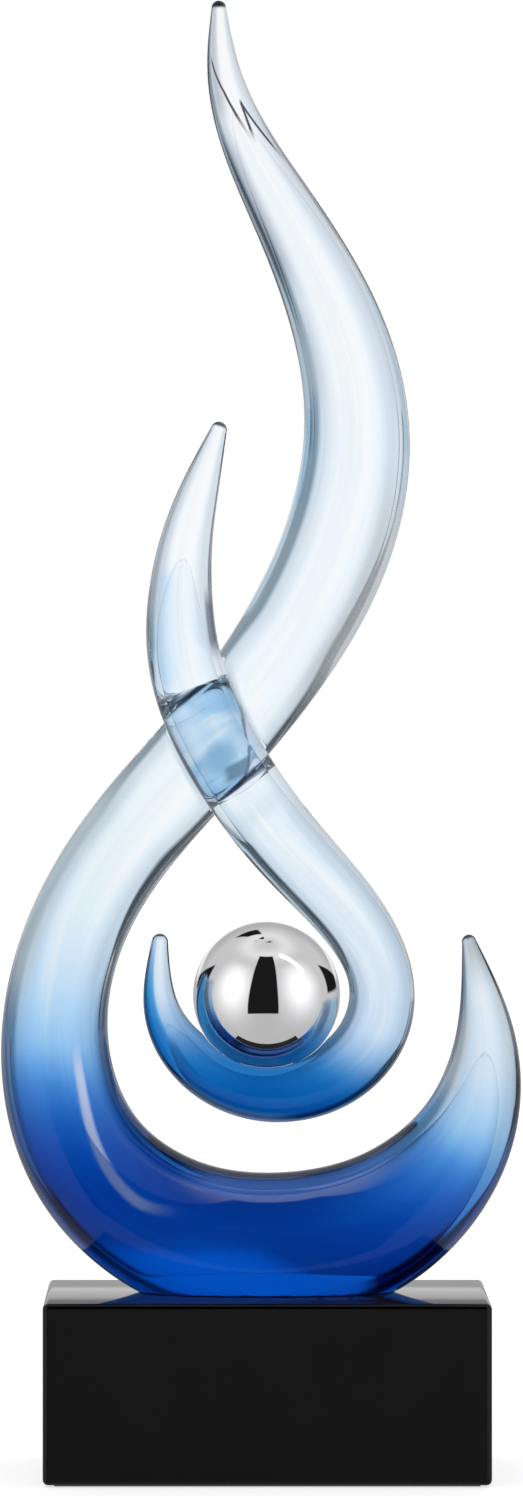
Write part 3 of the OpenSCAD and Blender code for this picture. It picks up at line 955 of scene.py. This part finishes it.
class Studio(Nodes):
    """The studio's directions, the kinds of ray that its light depends on, and helpers to paint it.

    side is the angle round from the backdrop, 0 behind the sculpture and 180 at the camera; turn is the
    angle off the backdrop's middle; lift is the height over the horizon. All are in degrees.
    """

    def __init__(self, tree):
        super().__init__(tree)
        self.x, y, self.z = self.split(self.add("ShaderNodeTexCoord").outputs["Generated"])
        self.side = self.times(self.math("ARCTAN2", self.math("ABSOLUTE", self.x), y), DEGREES)
        self.turn = self.times(self.math("ARCCOSINE", y), DEGREES)
        self.lift = self.times(self.math("ARCSINE", self.z), DEGREES)
        self.right = self.ease(self.x, -0.02, 0.02)
        self.rays = self.add("ShaderNodeLightPath").outputs
        self.through = self.rays["Is Transmission Ray"]
        self.mirrored = self.times(self.rays["Is Glossy Ray"], self.minus(1.0, self.through))

    def band(self, value, a, b, soft):
        """Mask between a and b."""
        start = self.ease(value, a - soft, a + soft)
        return self.times(start, self.ease(value, b - soft, b + soft, 1.0, 0.0))

    def over(self, below, mask, level):
        """Lay a level over what is below, where the mask is."""
        keep = self.times(below, self.minus(1.0, mask))
        return self.math("ADD", keep, self.times(mask, level))

    def swell(self, value, middle, width):
        """Soft rise to 1 round a middle."""
        d = self.math("DIVIDE", self.minus(value, middle), width)
        return self.math("POWER", 2.0, self.times(self.times(d, d), -1.0))


def backdrop(sky):
    """White backdrop, with grey walls beside it above the horizon and a dimmer table edge below it."""
    white = sky.ease(sky.turn, 12, 34, 1.0, 0.82)
    table = sky.ease(sky.x, -0.1, 0.1, 0.75, 0.36)
    wall = sky.ease(sky.x, -0.1, 0.1, 0.85, 0.42)
    beside = sky.over(table, sky.ease(sky.lift, -8, 0), wall)
    return sky.over(white, sky.ease(sky.turn, 34, 48), beside)


def dark_flags(sky, light):
    """Dark flags beside the backdrop, from just under the horizon up."""
    start = sky.ease(sky.lift, 11, 20, 57, 39)
    flag = sky.times(sky.ease(sky.minus(sky.turn, start), -6.0, 6.0), sky.ease(sky.lift, -7, -4))
    light = sky.over(light, flag, 0.05)
    light = sky.over(light, sky.band(sky.side, 68, 84, 5), 0.1)
    return sky.over(light, sky.band(sky.side, 84, 102, 2), 0.08)


def mirrored_room(sky, light):
    """A mirror sees a grey room instead, with a bright strip low behind the sculpture and one black flag on
    each side that rises towards the camera."""
    low_strip = sky.times(sky.band(sky.lift, 3, 12, 1.5), sky.ease(sky.turn, 25, 45, 1.0, 0.0))
    room = sky.over(sky.ease(sky.turn, 30, 60, 0.5, 0.66), low_strip, 0.95)
    top_edge = sky.math("MULTIPLY_ADD", sky.side, 0.64, -16.0)
    below_top = sky.ease(sky.minus(sky.lift, top_edge), -1.0, 1.0, 1.0, 0.0)
    black = sky.times(sky.times(sky.band(sky.side, 35, 69, 2), sky.ease(sky.lift, -1, 2)), below_top)
    return sky.over(light, sky.mirrored, sky.over(room, black, BLACK))


def front_lights(sky, light):
    """Grey walls with large soft boxes on both sides of the camera."""
    glow = sky.times(sky.swell(sky.side, 124, 25), sky.swell(sky.lift, 13, 29))
    gain = sky.math("MULTIPLY_ADD", sky.mirrored, 0.35, 0.5)
    front = sky.math("MULTIPLY_ADD", glow, gain, 0.56)
    start = sky.math("MULTIPLY_ADD", sky.through, 18.0, 84.0)
    return sky.over(light, sky.ease(sky.minus(sky.side, start), -3.0, 3.0), front)


def ceiling(sky, light):
    """Ceiling with a brighter ring, paler in a mirror."""
    gain = sky.math("MULTIPLY_ADD", sky.mirrored, -0.3, 0.5)
    level = sky.math("MULTIPLY_ADD", sky.swell(sky.lift, 68, 9), gain, 0.32)
    level = sky.math("MULTIPLY_ADD", sky.mirrored, 0.34, level)
    return sky.over(light, sky.ease(sky.lift, 40, 54), level)


def slim_lamp(sky, light):
    """A slim curved lamp over the right shoulder, seen in reflections only."""
    round_view = sky.times(sky.math("ARCTAN2", sky.z, sky.x), DEGREES)
    lamp = sky.times(sky.band(sky.turn, 104, 111, 2), sky.band(round_view, 34, 72, 4))
    return sky.over(light, sky.times(lamp, sky.mirrored), 1.6)


def glass_in_mirror(sky, light):
    """Glass that shows in a mirror is light and clear."""
    reflected = sky.times(sky.through, sky.ease(sky.rays["Glossy Depth"], 0.4, 0.6))
    return sky.over(light, reflected, 0.72)


def camera_gap(sky, light):
    """The dark gap with the camera, wider below, which doesn't show through glass."""
    narrow = sky.swell(sky.lift, 20, 40)
    left_edge = sky.math("MULTIPLY_ADD", narrow, 2.5, sky.math("MULTIPLY_ADD", sky.lift, 0.1, 149.4))
    right_edge = sky.math("MULTIPLY_ADD", narrow, 4.0, 158.9)
    edge = sky.over(left_edge, sky.right, right_edge)
    gap = sky.times(sky.ease(sky.minus(sky.side, edge), -1.0, 1.0), sky.band(sky.lift, -25, 66.5, 1.0))
    return sky.over(light, sky.times(gap, sky.minus(1.0, sky.through)), BLACK)


def ceiling_hole(sky, light):
    """A small dark hole in the ceiling, on the left."""
    slope = sky.minus(sky.lift, sky.math("MULTIPLY_ADD", sky.side, -0.2, 58.0))
    hole = sky.times(sky.band(sky.side, 9, 33, 2), sky.band(slope, -8, 8, 1))
    return sky.over(light, sky.times(hole, sky.minus(1.0, sky.right)), BLACK)


def studio_tone(sky):
    """Colour of the light: cooler beside the backdrop through glass, and bluest on the right."""
    cool = sky.times(sky.ease(sky.turn, 8, 32), sky.through)
    tone = sky.mix(cool, WHITE, (0.88, 0.94, 1.0))
    steel_side = sky.times(sky.times(cool, sky.ease(sky.turn, 34, 48)), sky.right)
    return sky.mix(steel_side, tone, (0.66, 0.84, 0.96))


def studio():
    """World light: glass and mirrors see the studio, the camera sees white and the rest gets plain light."""
    world = bpy.data.worlds.new("studio")
    scene.world = world
    world.use_nodes = True
    sky = Studio(world.node_tree)
    light = backdrop(sky)
    for paint in (dark_flags, mirrored_room, front_lights, ceiling, slim_lamp, glass_in_mirror):
        light = paint(sky, light)
    light = ceiling_hole(sky, camera_gap(sky, light))
    shown = sky.math("MAXIMUM", sky.rays["Is Glossy Ray"], sky.through)
    plain = sky.times(sky.minus(1.0, shown), PLAIN_LIGHT)
    level = sky.math("ADD", sky.times(light, shown), plain)
    level = sky.math("MAXIMUM", level, sky.rays["Is Camera Ray"])
    back = world.node_tree.nodes["Background"]
    sky.link(level, back.inputs["Strength"])
    sky.link(studio_tone(sky), back.inputs["Color"])


studio()
